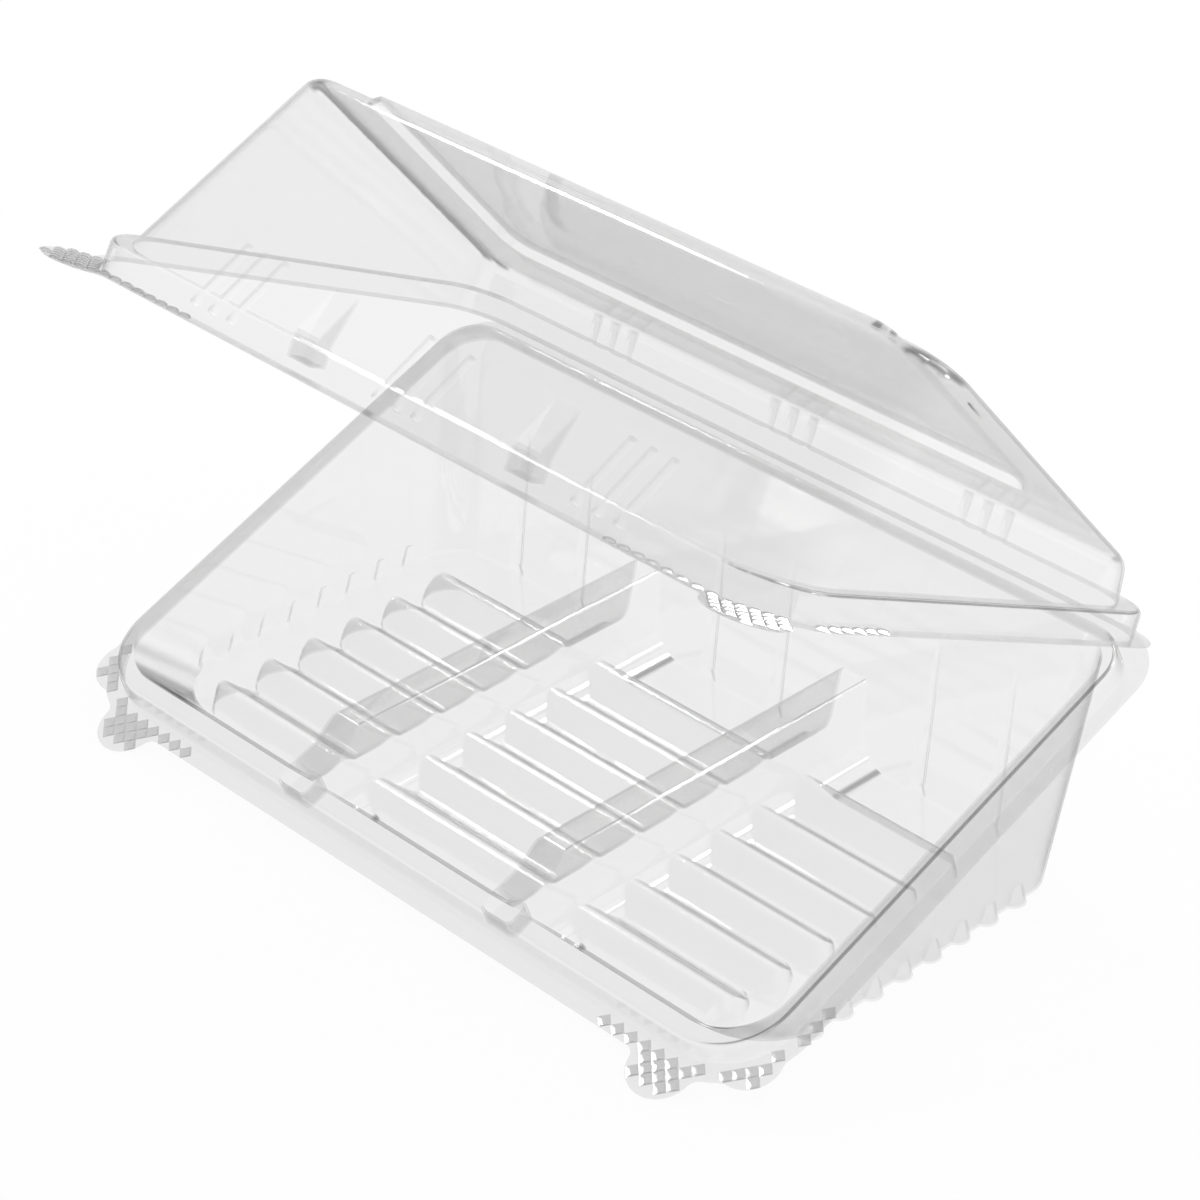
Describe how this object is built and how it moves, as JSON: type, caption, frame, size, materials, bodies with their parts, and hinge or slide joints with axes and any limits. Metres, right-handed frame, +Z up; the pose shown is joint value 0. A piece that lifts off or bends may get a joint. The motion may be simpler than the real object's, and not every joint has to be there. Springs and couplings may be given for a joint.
{
  "type": "plastic clamshell pack",
  "caption": "Clear wedge-shaped clamshell food pack: a ridged base tray split into bays by low walls, and a domed lid hinged along the deep back edge.",
  "frame": {"origin": "On the surface the pack stands on, under the middle of the open pack's outline.", "axes": "+Z up, X along the fold line with +X to the pack's right, and -Y toward the front edge that opens."},
  "size_m": [0.2412, 0.1538, 0.1601],
  "materials": {
    "clear_sheet": "clear, glossy",
    "clear_sheet_lid": "clear, glossy"
  },
  "bodies": {
    "tray": {"base_tray": "clear_sheet"},
    "cover": {"lid": "clear_sheet_lid"}
  },
  "joints": [
    {"name": "lid_hinge", "type": "hinge", "parent": "tray", "child": "cover", "pos_m": [0, 0.07653, 0.0612], "axis": [-1, 0, 0], "range_deg": [-47.2, 132.8]}
  ]
}
